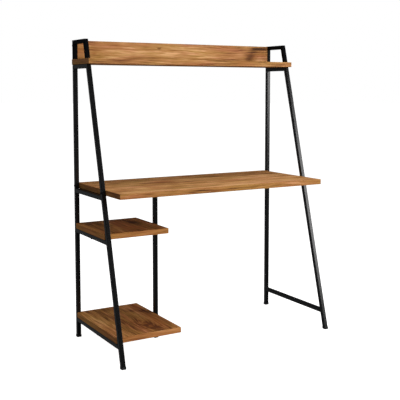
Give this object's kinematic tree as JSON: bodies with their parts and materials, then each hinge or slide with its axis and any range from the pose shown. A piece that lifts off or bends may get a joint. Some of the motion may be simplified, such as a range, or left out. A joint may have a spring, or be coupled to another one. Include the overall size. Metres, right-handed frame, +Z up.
{
  "type": "ladder desk",
  "caption": "Free-standing ladder desk: steel side frames with a leaning front leg carry a desktop, a high top shelf with a back panel, and small shelves on one side.",
  "frame": {"origin": "on the floor, under the middle of the desk's box", "axes": "+Z up, +X to the sitter's right, +Y to the back, away from the sitter"},
  "size_m": [1.1546, 0.5528, 1.447],
  "materials": {
    "black_steel": "satin black powder coat",
    "wood_board": "satin warm brown, streaky grain with knots",
    "foot_plastic": "matte black moulded plastic",
    "black_bolt": "black coated steel",
    "zinc_steel": "bright zinc plate",
    "insert_brass": "plain brass",
    "dowel_wood": "plain beech"
  },
  "bodies": {
    "root": {"back_panel": "wood_board", "bottom_shelf": "wood_board", "desk_bolts": "black_bolt", "desk_inserts": "insert_brass", "desk_plate_screws": "zinc_steel", "desktop": "wood_board", "left_bottom_rail": "black_steel", "left_desk_rail": "black_steel", "left_front_desk_plate": "black_steel", "left_front_foot": "foot_plastic", "left_front_leg": "black_steel", "left_loop_foot_plates": "black_steel", "left_loop_front_upright": "black_steel", "left_loop_rear_upright": "black_steel", "left_loop_top_bar": "black_steel", "left_middle_rail": "black_steel", "left_rear_desk_plate": "black_steel", "left_rear_foot": "foot_plastic", "left_rear_leg": "black_steel", "left_top_rail": "black_steel", "loop_studs": "zinc_steel", "middle_post": "black_steel", "middle_post_foot": "foot_plastic", "middle_post_plate": "black_steel", "middle_shelf": "wood_board", "panel_bolts": "black_bolt", "panel_dowels": "dowel_wood", "panel_inserts": "insert_brass", "post_bolts": "black_bolt", "post_inserts": "insert_brass", "post_plate_screws": "zinc_steel", "rail_bolts": "black_bolt", "rail_inserts": "insert_brass", "right_bottom_rail": "black_steel", "right_desk_rail": "black_steel", "right_front_desk_plate": "black_steel", "right_front_foot": "foot_plastic", "right_front_leg": "black_steel", "right_loop_foot_plates": "black_steel", "right_loop_front_upright": "black_steel", "right_loop_rear_upright": "black_steel", "right_loop_top_bar": "black_steel", "right_rear_desk_plate": "black_steel", "right_rear_foot": "foot_plastic", "right_rear_leg": "black_steel", "right_top_rail": "black_steel", "stud_nuts": "zinc_steel", "top_shelf": "wood_board"}
  },
  "joints": []
}
